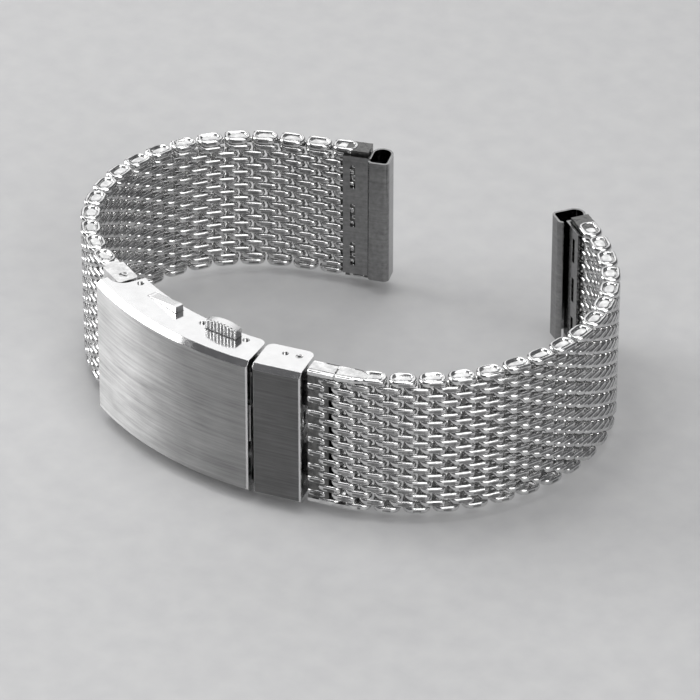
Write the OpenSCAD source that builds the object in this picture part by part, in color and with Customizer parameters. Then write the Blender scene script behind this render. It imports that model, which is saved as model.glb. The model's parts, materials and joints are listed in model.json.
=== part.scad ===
// Wire mesh bracelet for a watch, with a fold-over clasp whose end slides out on a toothed tongue.
// The closed bracelet stands on its long edge: +Z is across the band, the outside of the clasp faces -Y.

/* [Mesh] */
// Diameter of the mesh wire
wire_d = 0.7; // [0.6:0.02:0.74]
// Rise of one turn of a wire coil, across the band
turn_pitch = 2.224; // [2.2:0.004:2.3]
// Turns in each wire coil
turns = 10; // [8:1:11]
// Thickness of the mesh, over its wires
mesh_t = 2.96; // [2.9:0.02:3.1]
// Distance from one coil to the next, along the band
coil_pitch = 2.06; // [2.04:0.02:2.2]
// Play between two linked coils, along the band
link_play = 0.32; // [0.28:0.01:0.36]
// Groups of coils in the strap at the sliding end of the clasp
right_groups = 8; // [6:1:8]
// Coils that bend as one group in that strap
right_group_coils = 4; // [2:1:4]
// Groups of coils in the strap at the folding end of the clasp
left_groups = 10; // [8:1:10]
// Coils that bend as one group in that strap
left_group_coils = 3; // [2:1:3]

/* [Clasp cover] */
// Width of the clasp, across the band
clasp_w = 22; // [21.6:0.1:23]
// Radius of the cover's outer face
clasp_r = 50; // [46:1:56]
// Angle from the lowest point of the cover to its folding end
cover_a_left = 21.5; // [21:0.1:22.5]
// Angle from the lowest point of the cover to its sliding end
cover_a_right = 14.3; // [14.1:0.1:14.5]
// Thickness of the cover's curved plate
cover_plate_t = 1.2; // [0.9:0.05:1.4]
// Thickness of the cover's two side walls
cover_wall_t = 1.6; // [1.3:0.05:1.8]
// Depth of the side walls, from the outer face
cover_depth = 6.5; // [6.4:0.05:6.8]
// Polished bevel along the cover and the end block
bevel = 0.8; // [0.4:0.05:1]
// Small bevel on the ends of the cover and the end block
end_bevel = 0.25; // [0.1:0.05:0.4]
// Rounding of the inner corners of the cover and the end block
corner_r = 1.2; // [0.8:0.1:1.4]

/* [Clasp pins] */
// Diameter of the cross pins in the cover
pin_d = 1.0; // [0.8:0.05:1.1]
// Depth of the cross pins under the cover's outer face
pin_depth = 5.2; // [5.15:0.05:5.25]
// Angle of the blade hinge in the cover
hinge_a = 16.8; // [16.6:0.1:17]
// Angle of the first pin of the button bracket
bracket_a1 = 1.0; // [0.8:0.1:1.1]
// Angle of the second pin of the button bracket
bracket_a2 = 10.7; // [10.6:0.1:10.9]
// How far a pin's end lies under the face it is pressed into
pin_recess = 0.4; // [0:0.1:0.6]

/* [Clearances] */
// Radial clearance of a pin that turns in an eye
run_gap = 0.05; // [0.03:0.01:0.08]
// Radial clearance of a pin that is pressed in
fit_gap = 0.01; // [0:0.005:0.02]
// Clearance between parts that slide past each other
slide_gap = 0.2; // [0.1:0.01:0.2]
// Clearance round a button in its slot
slot_gap = 0.08; // [0.05:0.01:0.1]

/* [Blades] */
// Thickness of the middle blade
middle_t = 0.7; // [0.5:0.05:0.75]
// Thickness of the base blade
base_t = 0.8; // [0.6:0.05:1]
// Gap between the two folded blades
blade_gap = 0.2; // [0.15:0.01:0.25]
// Width of the middle blade
middle_w = 18; // [17:0.1:18.2]
// Width of the base blade
base_w = 17; // [16:0.1:17.4]
// Angle of the hinge between the two blades
blade_hinge_a = 12.7; // [12.5:0.1:12.9]
// Outer radius of the eyes on the blades
eye_r = 1.05; // [1:0.01:1.1]

/* [End block] */
// Length of the end block along the band
block_l = 7.2; // [7.1:0.05:7.4]
// Thickness of the end block
block_t = 6.3; // [6.2:0.05:6.5]
// Angle of the end block's middle
block_a = 19.4; // [19.3:0.05:19.5]
// How far the mesh's middle lies under the block's outer face
mesh_depth = 3.1; // [3:0.05:3.2]
// How far the block's two pins lie inside the mesh's middle
pin_inset = 1.4; // [1.35:0.05:1.45]
// Distance of the slide bar from the block's middle
bar_x = -0.35; // [-0.4:0.05:-0.3]
// Distance of the mesh pin from the block's middle
mesh_pin_x = 1.75; // [1.7:0.05:1.8]
// Diameter of the slide bar
bar_d = 0.9; // [0.7:0.05:0.95]
// Travel of the slide out of the cover
slide_travel = 8; // [4:0.5:8]

/* [Slide] */
// Thickness of the toothed tongue
tongue_t = 1.2; // [0.9:0.05:1.3]
// Width of the toothed tongue
tongue_w = 15.6; // [15:0.1:16]
// Length of the tongue inside the closed cover, as an angle
tongue_a = 19.8; // [19:0.1:20]
// Width of the tongue's toothed window
window_w = 9.6; // [9.4:0.1:9.8]
// Number of teeth on each side of the window
teeth = 7; // [5:1:7]
// Distance between two teeth
tooth_pitch = 1.3; // [1.2:0.05:1.4]
// Depth of the teeth
tooth_h = 0.6; // [0.4:0.05:0.7]

/* [Buttons] */
// Length of the release buttons for the fold
fold_l = 6.2; // [5.6:0.1:6.3]
// Angle of the fold buttons
fold_a = 8.6; // [8.5:0.1:8.7]
// Height of the wedge of a fold button
fold_proud = 1.0; // [0.6:0.1:1.2]
// Length of the release buttons for the extension
ext_l = 5.3; // [5:0.1:5.4]
// Height of an extension button's crown
button_proud = 1.8; // [1.5:0.1:1.8]
// Height of an extension button's straight side
ext_side = 1.3; // [1:0.1:1.4]
// Thickness of the buttons
button_t = 1.4; // [1.2:0.05:1.45]
// Distance between the grooves on an extension button
groove_pitch = 0.6; // [0.45:0.05:0.7]
// Travel of a button
button_travel = 1.0; // [0.7:0.1:1]
// Wire of the button springs
spring_wire = 0.3; // [0.22:0.02:0.32]
// Outer diameter of the button springs
spring_d = 1.5; // [1.3:0.05:1.6]
// Curls of a button spring
spring_curls = 5; // [4:1:5]

/* [Ends of the mesh] */
// Thickness of the solder between the wires at the ends of the mesh
solder_t = 2.3; // [2:0.05:2.4]
// Gap under the lug sheets, from the mesh to the sheet
sheet_gap = 0.06; // [0.02:0.01:0.1]
// Length of the soldered end at the end block
right_slab = 3.4; // [3.2:0.1:4]
// Gap between the end block and the soldered end
right_slab_gap = 0.5; // [0.45:0.05:0.6]
// Distance from the link pin to the first coil of the folding strap
left_slab = 4.0; // [3.8:0.1:4.4]
// Diameter of the link pin
link_pin_d = 1.3; // [1:0.05:1.4]
// Height of each ear of the folding strap's end link
link_ear = 4; // [3.4:0.1:4.4]
// Thickness of those ears
link_t = 3.2; // [3:0.05:3.3]
// Rounding of their corners
link_round = 0.5; // [0.3:0.05:0.8]

/* [Lug ends] */
// Length of the soldered mesh at the lugs
lug_slab = 3.8; // [3.4:0.1:4.4]
// Width of the lug sheets, across the band
lug_w = 20.4; // [19.6:0.1:21]
// Thickness of the lug sheets
sheet_t = 0.35; // [0.25:0.01:0.4]
// Inner width of the spring bar channel, along the band
channel_w = 2.6; // [2.4:0.05:2.8]
// Inner height of the spring bar channel, through the band
channel_h = 4.0; // [3.8:0.05:4.2]
// How far the channel reaches inside the mesh
channel_drop = 1.5; // [1.3:0.05:1.6]
// Seam between the channel's free edge and the lug plate
seam = 0.5; // [0.4:0.05:0.6]
// Length of the three slots in the lug plate
lug_slot_l = 4.0; // [3:0.1:4.6]
// Width of the three slots in the lug plate
lug_slot_w = 0.8; // [0.6:0.05:1]
// Distance between the slots in the lug plate
lug_slot_pitch = 6.7; // [6:0.1:7]

/* [Hidden] */

// The straps as arcs from their first coil outwards: [length, turn], in mm and degrees
right_arcs = [[33.5, 64.2], [23.4, 51], [18.5, 30.8]];
left_arcs = [[12, 26.5], [43.4, 108], [15.5, 0]];
// Where the centre of the cover's curve lies, so that the closed bracelet is centred on the origin
arc_centre = [-2.62, 17.43];
// Facets of the wire and of large curves
wire_fn = 24;
big_fn = 180;
// A cut passes a face by this much
past = 1;
// A piece that is joined to another stays this much inside its flat faces
step = 0.03;
mid_z = clasp_w / 2;

// Coil: front and back runs joined by tilted half rings, so each end of a run meets a ring squarely
half_run_gap = (mesh_t - wire_d) / 2;
half_rise = turn_pitch / 2;
bend_r = sqrt(4 * half_run_gap * half_run_gap + half_rise * half_rise) / 2;
bend_tilt = atan2(half_rise, 2 * half_run_gap);
half_run = (coil_pitch + wire_d + link_play) / 2 - bend_r;
half_cut = 0.5;
runs = 2 * turns;
mesh_w = (runs - 1) * half_rise + wire_d;
mesh_z = (clasp_w - mesh_w) / 2;

// Radii in the clasp, measured from the centre of the cover's curve
plate_in_r = clasp_r - cover_plate_t;
wall_in_r = clasp_r - cover_depth;
pin_r = clasp_r - pin_depth;
tongue_out_r = plate_in_r - slide_gap - 0.1;
tongue_in_r = tongue_out_r - tongue_t;
middle_out_r = pin_r - pin_d / 2 - 0.4;
middle_in_r = middle_out_r - middle_t;
base_out_r = middle_in_r - blade_gap;
base_in_r = base_out_r - base_t;
blade_hinge_r = middle_in_r + 0.1;
block_r = clasp_r - 0.1 - mesh_depth;
link_pin_a = 21;
link_pin_r = clasp_r - 4.2;
slot_r = pin_r + 0.05;
slot_h = button_t + 2 * slot_gap;

right_coils = right_groups * right_group_coils;
left_coils = left_groups * left_group_coils;

// A pose is [x, y, heading]
function arc_step(p, l, turn) =
    abs(turn) < 0.001
        ? [p[0] + l * cos(p[2]), p[1] + l * sin(p[2]), p[2]]
        : let (r = l / turn * 180 / PI)
          [p[0] + r * (sin(p[2] + turn) - sin(p[2])),
           p[1] - r * (cos(p[2] + turn) - cos(p[2])),
           p[2] + turn];
function along(p, arcs, side, s, i = 0) =
    s <= arcs[i][0] || i == len(arcs) - 1
        ? arc_step(p, s, side * arcs[i][1] * s / arcs[i][0])
        : along(arc_step(p, arcs[i][0], side * arcs[i][1]), arcs, side, s - arcs[i][0], i + 1);
right_start = arc_step([block_r * sin(block_a), -block_r * cos(block_a), block_a], block_l / 2, 0);
left_start = [-link_pin_r * sin(link_pin_a), -link_pin_r * cos(link_pin_a), 182 - link_pin_a];
function right_pose(i) = along(arc_step(right_start, right_slab, 0), right_arcs, 1, i * coil_pitch);
function left_pose(i) = along(arc_step(left_start, left_slab, 0), left_arcs, -1, i * coil_pitch);

// Lifts the bracelet on to its lowest buttons and centres it
module stand() translate([arc_centre[0], arc_centre[1], button_proud]) children();

// A place at a radius and an angle in the clasp: x runs along the cover, y towards the wrist
module at_arc(r, a) rotate(a) translate([0, -r, 0]) children();

// Sweeps a profile of radius and height round the centre of the cover's curve
module sweep(a0, a1) rotate(a0 - 90) rotate_extrude(angle = a1 - a0, $fn = big_fn) children();

module band_plate(r0, r1, a0, a1, w) sweep(a0, a1) translate([r0, mid_z - w / 2]) square([r1 - r0, w]);

module band_plate_at(r0, r1, a0, a1, z, w) sweep(a0, a1) translate([r0, z - w / 2]) square([r1 - r0, w]);

// Mirrors a part made at the top edge to the bottom edge
module to_bottom() translate([0, 0, clasp_w]) mirror([0, 0, 1]) children();

// A block of the given length and depth whose far corners are rounded
module rounded_outline(l, y0, y1, r) {
    difference() {
        translate([-l / 2, y0]) square([l, y1 - y0]);
        for (s = [-1, 1])
            difference() {
                translate([s * l / 2 - (s > 0 ? r : past), y1 - r]) square([r + past, r + past]);
                translate([s * (l / 2 - r), y1 - r]) circle(r = r, $fn = 48);
            }
    }
}

// Coil parts, along X for the band's direction and Z across it
module wire_run(x0, x1, side, z)
    translate([x0, side * half_run_gap, z]) rotate([0, 90, 0])
        cylinder(d = wire_d, h = x1 - x0, $fn = wire_fn);

module wire_bend(end, z)
    translate([end * half_run, 0, z]) rotate([-end * bend_tilt, 0, 0]) rotate(-90 * end)
        rotate_extrude(angle = 180, $fn = wire_fn) translate([bend_r, 0]) circle(d = wire_d, $fn = wire_fn);

// Run number j lies outside when j and the coil's phase are both even or both odd
function side_of(j, phase) = (j + phase) % 2 == 0 ? -1 : 1;

module coil(phase) {
    for (j = [0:runs - 1]) {
        wire_run(-half_run, half_run, side_of(j, phase), j * half_rise);
        if (j < runs - 1) wire_bend(side_of(j, phase), (j + 0.5) * half_rise);
    }
}

module place(pose, turned)
    translate([pose[0], pose[1], 0]) rotate(pose[2] + (turned ? 180 : 0)) children();

module mesh_group(g, right) {
    n = right ? right_group_coils : left_group_coils;
    color("gainsboro")
        for (i = [(g - 1) * n + 1:g * n])
            place(right ? right_pose(i) : left_pose(i), !right)
                translate([0, 0, mesh_z + wire_d / 2]) coil(i % 2);
}

// The loops of a coil at one side only, with cut ends
module half_coil(phase, end) {
    for (j = [0:runs - 2])
        if (side_of(j, phase) == end) {
            wire_bend(end, (j + 0.5) * half_rise);
            for (k = [j, j + 1])
                wire_run(end > 0 ? -half_cut : -half_run, end > 0 ? half_run : half_cut,
                         side_of(k, phase), k * half_rise);
        }
}

// A soldered end: solder between x0 and x1, and coils inwards from the one whose loops stay free
module soldered(x0, x1, first, step, count, phase) {
    translate([x0, -solder_t / 2, mesh_z]) cube([x1 - x0, solder_t, mesh_w]);
    for (i = [0:count - 1])
        translate([first + i * step, 0, mesh_z + wire_d / 2]) coil((phase + i) % 2);
}

module mesh_end_right()
    color("gainsboro") place(right_pose(right_coils + 1), false)
        soldered(0, lug_slab, 0, coil_pitch, 2, (right_coils + 1) % 2);

module mesh_end_left()
    color("gainsboro") place(left_pose(left_coils + 1), true)
        soldered(-lug_slab, 0, 0, -coil_pitch, 2, (left_coils + 1) % 2);

// The lug sheet in section: x towards the lug, y outwards, from the middle of the mesh
tube_w = channel_w + 2 * sheet_t;
mesh_face = mesh_t / 2 + sheet_gap;
tube_bottom = -mesh_face - channel_drop;
tube_top = tube_bottom + channel_h + 2 * sheet_t;
tube_x = 0.15;
lip_r = 0.8;

module tube_outline(inset) {
    w = tube_w - 2 * inset;
    r = w / 2;
    c = lip_r - inset;
    translate([tube_x + tube_w / 2, 0]) {
        translate([0, tube_top - tube_w / 2]) circle(r = r, $fn = 72);
        translate([-r, tube_bottom + lip_r]) square([w, tube_top - tube_bottom - lip_r - tube_w / 2]);
        translate([-r + c, tube_bottom + inset]) square([w - 2 * c, lip_r + past - inset]);
        for (s = [-1, 1]) translate([s * (r - c), tube_bottom + lip_r]) circle(r = c, $fn = 48);
    }
}

module lug_section() {
    plate_y = -mesh_face - sheet_t;
    difference() {
        tube_outline(0);
        tube_outline(sheet_t);
        translate([-past, plate_y - seam]) square([past + tube_x + sheet_t + 0.1, seam]);
    }
    translate([-lug_slab, plate_y]) square([lug_slab + tube_x + sheet_t / 2, sheet_t]);
}

module lug_sheet() {
    difference() {
        translate([0, 0, mid_z - lug_w / 2]) linear_extrude(height = lug_w) lug_section();
        for (k = [-1:1])
            translate([-2.3 - lug_slot_w / 2, -mesh_face - sheet_t - past,
                       mid_z + k * lug_slot_pitch - lug_slot_l / 2])
                cube([lug_slot_w, sheet_t + 2 * past, lug_slot_l]);
    }
}

module lug_sheet_right()
    color("silver") place(right_pose(right_coils + 1), false)
        translate([lug_slab, 0, 0]) mirror([0, 1, 0]) lug_sheet();

module lug_sheet_left()
    color("silver") place(left_pose(left_coils + 1), false)
        translate([lug_slab, 0, 0]) lug_sheet();

// The end link of the sliding strap, with two arms to the mesh pin
arm_z = [[3, 7.2], [14.8, 19]];
arm_half = 1.0;

module end_link_right() {
    pin_x = mesh_pin_x - block_l / 2;
    color("gainsboro") place(right_start, false)
        difference() {
            union() {
                soldered(right_slab_gap, right_slab, right_slab, -coil_pitch, 1, 0);
                translate([right_slab - coil_pitch, 0, mesh_z + wire_d / 2]) half_coil(1, 1);
                for (z = arm_z) {
                    translate([pin_x, pin_inset - arm_half, z[0]])
                        cube([right_slab_gap + past - pin_x, 2 * arm_half, z[1] - z[0]]);
                    translate([pin_x, pin_inset, z[0]]) cylinder(r = eye_r, h = z[1] - z[0], $fn = 48);
                }
            }
            translate([pin_x, pin_inset, -past])
                cylinder(d = pin_d + 2 * run_gap, h = clasp_w + 2 * past, $fn = 48);
        }
}

module link_outline() {
    x0 = -link_t / 2;
    difference() {
        translate([x0, -link_t / 2]) square([left_slab - 0.8 - x0, link_t]);
        for (s = [-1, 1])
            difference() {
                translate([x0 - past, s * link_t / 2 - (s > 0 ? link_round : past)])
                    square([link_round + past, link_round + past]);
                translate([x0 + link_round, s * (link_t / 2 - link_round)]) circle(r = link_round, $fn = 48);
            }
    }
}

// The end link of the folding strap, with an ear at each edge of the band
module end_link_left() {
    color("gainsboro") place(left_start, false)
        difference() {
            union() {
                soldered(left_slab - 1.6, left_slab, left_slab, coil_pitch, 1, 1);
                for (z = [mesh_z - step, mesh_z + mesh_w - link_ear + step])
                    translate([0, 0, z]) linear_extrude(height = link_ear) link_outline();
            }
            translate([0, 0, -past])
                cylinder(d = link_pin_d + 2 * fit_gap, h = clasp_w + 2 * past, $fn = 48);
        }
}

module link_pin()
    color("white") at_arc(link_pin_r, -link_pin_a)
        difference() {
            translate([0, 0, mesh_z + 0.05]) cylinder(d = link_pin_d, h = mesh_w - 0.1, $fn = 48);
            // slot across each end
            for (z = [mesh_z + 0.05, mesh_z + mesh_w - 0.05])
                translate([0, 0, z]) rotate(35) cube([2 * link_pin_d, 0.25, 0.8], center = true);
        }

module cross_bore(a, d) at_arc(pin_r, a) translate([0, 0, -past]) cylinder(d = d, h = clasp_w + 2 * past, $fn = 48);

module cross_pin(a)
    at_arc(pin_r, a) translate([0, 0, pin_recess]) cylinder(d = pin_d, h = clasp_w - 2 * pin_recess, $fn = 48);

// Cuts the bevel off a vertical edge
module edge_cut(size) rotate(45) cube([size * sqrt(2), size * sqrt(2), 3 * clasp_w], center = true);

module cover() {
    color("lightgray") difference() {
        sweep(-cover_a_left, cover_a_right)
            polygon([
                [wall_in_r, 0], [clasp_r - bevel, 0], [clasp_r, bevel],
                [clasp_r, clasp_w - bevel], [clasp_r - bevel, clasp_w], [wall_in_r, clasp_w],
                [wall_in_r, clasp_w - cover_wall_t], [plate_in_r, clasp_w - cover_wall_t],
                [plate_in_r, cover_wall_t], [wall_in_r, cover_wall_t]
            ]);
        // rounded inner corner at the sliding end
        at_arc(wall_in_r, cover_a_right) difference() {
            translate([-corner_r, -corner_r, -past]) cube([2 * corner_r, 2 * corner_r, clasp_w + 2 * past]);
            translate([-corner_r, -corner_r, -2 * past]) cylinder(r = corner_r, h = clasp_w + 4 * past, $fn = 48);
        }
        for (a = [-cover_a_left, cover_a_right]) at_arc(clasp_r, a) edge_cut(end_bevel);
        // room for the end link of the folding strap
        at_arc(link_pin_r, -link_pin_a) {
            translate([0, 0, -past]) cylinder(d = link_t + 1.3, h = clasp_w + 2 * past, $fn = 72);
            translate([-8, -link_t / 2 - 0.65, -past]) cube([8, 10, clasp_w + 2 * past]);
            translate([-past, 0, -past]) cube([link_t / 2 + 0.65 + past, 6, clasp_w + 2 * past]);
        }
        at_arc(slot_r, -fold_a) translate([-fold_l / 2 - slot_gap, -slot_h / 2, -past])
            cube([fold_l + 2 * slot_gap, slot_h, clasp_w + 2 * past]);
        at_arc(slot_r, (bracket_a1 + bracket_a2) / 2) translate([-ext_l / 2 - slot_gap, -slot_h / 2, -past])
            cube([ext_l + 2 * slot_gap, slot_h, clasp_w + 2 * past]);
        for (a = [-hinge_a, bracket_a1, bracket_a2]) cross_bore(a, pin_d + 2 * fit_gap);
    }
}

module cover_hinge_pin() color("white") cross_pin(-hinge_a);

module bracket_pins() color("white") for (a = [bracket_a1, bracket_a2]) cross_pin(a);

// The block that the sliding strap is pinned to
module end_block() {
    bar_pocket = [7.8, 14.2];
    color("lightgray") at_arc(block_r, block_a) difference() {
        linear_extrude(height = clasp_w) rounded_outline(block_l, -mesh_depth, block_t - mesh_depth, corner_r);
        for (z = [0, clasp_w])
            translate([0, -mesh_depth, z]) rotate([45, 0, 0])
                cube([2 * block_l, bevel * sqrt(2), bevel * sqrt(2)], center = true);
        for (s = [-1, 1]) translate([s * block_l / 2, -mesh_depth, 0]) edge_cut(end_bevel);
        // pocket for the tongue, open towards the cover
        translate([-block_l, -mesh_depth + 0.9, bar_pocket[0]])
            cube([block_l + bar_x + eye_r + 0.1, pin_inset + mesh_depth - 0.9 + eye_r + 0.1,
                  bar_pocket[1] - bar_pocket[0]]);
        // pockets for the two arms of the end link, open towards the mesh
        for (z = arm_z)
            translate([mesh_pin_x - eye_r - 0.1, pin_inset - arm_half - 0.4, z[0] - 0.2])
                cube([block_l, 2 * arm_half + 0.8, z[1] - z[0] + 0.4]);
        // tool notch beside the mesh
        translate([block_l / 2 - 0.5, -1.9, mid_z + 1.6]) cube([past, 1.2, 2.4]);
        translate([bar_x, pin_inset, -past]) cylinder(d = bar_d + 2 * fit_gap, h = clasp_w + 2 * past, $fn = 48);
        translate([mesh_pin_x, pin_inset, -past])
            cylinder(d = pin_d + 2 * fit_gap, h = clasp_w + 2 * past, $fn = 48);
    }
}

module slide_bar()
    color("white") at_arc(block_r, block_a)
        translate([bar_x, pin_inset, pin_recess]) cylinder(d = bar_d, h = clasp_w - 2 * pin_recess, $fn = 48);

module mesh_pin()
    color("white") at_arc(block_r, block_a) difference() {
        translate([mesh_pin_x, pin_inset, 0.05]) cylinder(d = pin_d, h = clasp_w - 0.1, $fn = 48);
        translate([mesh_pin_x, pin_inset, -past]) cylinder(d = pin_d / 2, h = clasp_w + 2 * past, $fn = 36);
        translate([mesh_pin_x, pin_inset - 0.08, -past]) cube([pin_d, 0.16, clasp_w + 2 * past]);
    }

// The toothed tongue that slides under the cover's plate, with an eye on the slide bar
neck_w = 6;
tongue_mid_r = (tongue_in_r + tongue_out_r) / 2;
tongue_a0 = cover_a_right - tongue_a;
tongue_a1 = block_a - 0.3;
window_a0 = tongue_a0 + 2.2;
window_l = teeth * tooth_pitch + 1.6;
function arc_deg(l, r) = l / r * 180 / PI;

module slide_tongue() {
    color("silver") difference() {
        union() {
            band_plate(tongue_in_r, tongue_out_r, tongue_a0, tongue_a1, tongue_w);
            at_arc(block_r, block_a) translate([bar_x, pin_inset, mid_z - neck_w / 2 + step]) {
                cylinder(r = eye_r, h = neck_w - 2 * step, $fn = 48);
                translate([-eye_r, block_r - pin_inset - tongue_in_r - 0.3, 0])
                    cube([1.5, tongue_in_r + 0.3 - block_r + pin_inset, neck_w - 2 * step]);
            }
        }
        // beside the neck
        for (s = [-1, 1])
            band_plate_at(tongue_in_r - past, tongue_out_r + past, cover_a_right - 0.2, tongue_a1 + 2,
                          mid_z + s * (neck_w + tongue_w) / 2, tongue_w);
        band_plate(tongue_in_r - past, tongue_out_r + past, window_a0,
                   window_a0 + arc_deg(window_l, tongue_mid_r), window_w);
        for (t = [0:teeth - 1], s = [-1, 1])
            at_arc(tongue_mid_r, window_a0 + arc_deg(0.8 + (t + 0.5) * tooth_pitch, tongue_mid_r))
                translate([0, tongue_t, mid_z + s * (window_w / 2 - 0.2)]) rotate([90, 0, 0])
                    linear_extrude(height = 2 * tongue_t)
                        polygon([[-tooth_h, 0], [0, s * (tooth_h + 0.2)], [tooth_h, 0]]);
        at_arc(block_r, block_a) translate([bar_x, pin_inset, -past])
            cylinder(d = bar_d + 2 * fit_gap, h = clasp_w + 2 * past, $fn = 48);
    }
}

// Blades
module blade_eye(r, a, r_out, z0, z1) at_arc(r, a) translate([0, 0, z0]) cylinder(r = r_out, h = z1 - z0, $fn = 48);

module middle_blade() {
    z0 = mid_z - middle_w / 2;
    z1 = mid_z + middle_w / 2;
    ear = 5;
    tail_w = 8;
    color("silver") difference() {
        union() {
            band_plate(middle_in_r, middle_out_r, -hinge_a - 0.4, blade_hinge_a - 0.3, middle_w);
            blade_eye(pin_r, -hinge_a, eye_r, z0 + step, z1 - step);
            at_arc(pin_r, -hinge_a) translate([-0.6, 0, z0 + step])
                cube([eye_r + 0.6, pin_r - middle_in_r - 0.2, middle_w - 2 * step]);
            blade_eye(blade_hinge_r, blade_hinge_a, eye_r, mid_z - tail_w / 2 + step, mid_z + tail_w / 2 - step);
        }
        // between the ears, and beside the tail that carries the other eye
        at_arc(pin_r, -hinge_a) translate([-3, -3, z0 + ear]) cube([3 + eye_r + 0.4, 6, middle_w - 2 * ear]);
        for (s = [-1, 1])
            band_plate_at(middle_in_r - past, middle_out_r + past, blade_hinge_a - 1.6, blade_hinge_a + 2,
                          mid_z + s * (tail_w + middle_w) / 2, middle_w);
        // window that the catches reach through
        band_plate(middle_in_r - past, middle_out_r + past, -fold_a - 2.2, -fold_a + 5.2, 11);
        cross_bore(-hinge_a, pin_d + 2 * run_gap);
        at_arc(blade_hinge_r, blade_hinge_a) translate([0, 0, -past])
            cylinder(d = pin_d + 2 * run_gap, h = clasp_w + 2 * past, $fn = 48);
    }
}

module blade_hinge_pin()
    color("white") at_arc(blade_hinge_r, blade_hinge_a)
        translate([0, 0, mid_z - base_w / 2]) cylinder(d = pin_d, h = base_w, $fn = 48);

module base_blade() {
    z0 = mid_z - base_w / 2;
    z1 = mid_z + base_w / 2;
    ear = 4;
    knuckle_w = clasp_w - 2 * (mesh_z + link_ear) - 0.4;
    color("silver") difference() {
        union() {
            band_plate(base_in_r, base_out_r, -link_pin_a - 0.6, blade_hinge_a - 0.6, base_w);
            blade_eye(blade_hinge_r, blade_hinge_a, eye_r, z0 + step, z1 - step);
            // knuckle for the link pin
            blade_eye(link_pin_r, -link_pin_a, link_t / 2 - 0.1, mid_z - knuckle_w / 2, mid_z + knuckle_w / 2);
            at_arc(link_pin_r, -link_pin_a) translate([-1.2, 0, mid_z - knuckle_w / 2])
                cube([2.2, link_pin_r - base_out_r + base_t / 2, knuckle_w]);
            // catches for the two fold buttons
            for (s = [-1, 1])
                at_arc(base_out_r, -fold_a + 2.6) translate([-1, -2.6, mid_z + s * 3.2 - 0.5])
                    cube([2, 3, 1]);
        }
        // between the ears, where the middle blade's eye lies
        at_arc(blade_hinge_r, blade_hinge_a) translate([-eye_r - 0.5, -3, z0 + ear])
            cube([5, 6, base_w - 2 * ear]);
        at_arc(blade_hinge_r, blade_hinge_a) translate([0, 0, -past])
            cylinder(d = pin_d + 2 * fit_gap, h = clasp_w + 2 * past, $fn = 48);
        at_arc(link_pin_r, -link_pin_a) translate([0, 0, -past])
            cylinder(d = link_pin_d + 2 * run_gap, h = clasp_w + 2 * past, $fn = 48);
    }
}

// Buttons, made at the top edge. Their flange lies inside the wall
flange_z = clasp_w - cover_wall_t - slide_gap / 2;
flange_t = 1.0;
spring_seat_half = 1.2;
spring_end_z = flange_z - flange_t;
groove_w = 0.24;
grooves = floor((ext_l / 2 - groove_w) / groove_pitch);

module fold_button() {
    color("silver") at_arc(slot_r, -fold_a) {
        // wedge
        translate([-fold_l / 2, button_t / 2, 0]) rotate([90, 0, 0]) linear_extrude(height = button_t)
            polygon([
                [0, flange_z - flange_t], [fold_l, flange_z - flange_t], [fold_l, clasp_w + fold_proud],
                [fold_l - 0.6, clasp_w + fold_proud], [0.5, clasp_w + 0.05], [0, clasp_w + 0.05]
            ]);
        translate([-fold_l / 2 - 0.5, -button_t / 2, flange_z - flange_t]) cube([fold_l + 1, button_t, flange_t]);
        // arm with the latch tip
        translate([1.0, -button_t / 2, mid_z + 4.8]) cube([1.6, button_t, flange_z - flange_t - mid_z - 4.7]);
    }
}

module ext_button() {
    crown_r = (ext_l * ext_l / 4 + (button_proud - ext_side) * (button_proud - ext_side))
        / (2 * (button_proud - ext_side));
    color("silver") at_arc(slot_r, (bracket_a1 + bracket_a2) / 2) {
        difference() {
            intersection() {
                translate([-ext_l / 2, -button_t / 2, flange_z - flange_t])
                    cube([ext_l, button_t, clasp_w + button_proud + past - flange_z + flange_t]);
                translate([0, button_t, clasp_w + button_proud - crown_r]) rotate([90, 0, 0])
                    cylinder(r = crown_r, h = 2 * button_t, $fn = big_fn);
            }
            // grooves for the fingernail
            for (x = [-grooves:grooves])
                translate([x * groove_pitch, -button_t / 2, clasp_w + 0.2]) rotate(45)
                    cube([groove_w, groove_w, 2 * button_proud]);
        }
        translate([-ext_l / 2 - 0.4, -button_t / 2, flange_z - flange_t]) cube([ext_l + 0.8, button_t, flange_t]);
        // arm that carries the pawl into the tongue's window
        translate([ext_l / 2 - 1.2, -button_t / 2, mid_z + window_w / 2 - 1.3])
            cube([1.2, button_t, flange_z - flange_t - mid_z - window_w / 2 + 1.4]);
        translate([ext_l / 2 - 1.2, slot_r - tongue_out_r + 0.2, mid_z + window_w / 2 - 1.3])
            cube([1.2, tongue_out_r - slot_r, 1.1]);
    }
}

// A helical spring along Z from z0 to z1, as one tube
module spring(z0, z1) {
    sides = 6;
    per = 8;
    n = spring_curls * per;
    r = (spring_d - spring_wire) / 2;
    zs = z0 + spring_wire / 2;
    rise = z1 - z0 - spring_wire;
    points = [for (i = [0:n], j = [0:sides - 1])
        let (t = 360 * i / per, u = 360 * j / sides, q = r + spring_wire / 2 * cos(u))
        [q * cos(t), q * sin(t), zs + rise * i / n + spring_wire / 2 * sin(u)]];
    faces = concat(
        [[for (j = [sides - 1:-1:0]) j]],
        [for (i = [0:n - 1], j = [0:sides - 1])
            [i * sides + j, (i + 1) * sides + (j + 1) % sides, (i + 1) * sides + j]],
        [for (i = [0:n - 1], j = [0:sides - 1])
            [i * sides + j, i * sides + (j + 1) % sides, (i + 1) * sides + (j + 1) % sides]],
        [[for (j = [0:sides - 1]) n * sides + j]]
    );
    echo(spring_gap = rise / spring_curls - spring_wire);
    polyhedron(points, faces);
}

module fold_spring()
    color("white") at_arc(slot_r, -fold_a) translate([-1.5, 0, 0])
        spring(mid_z + spring_seat_half + 0.02, spring_end_z - 0.02);

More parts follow.
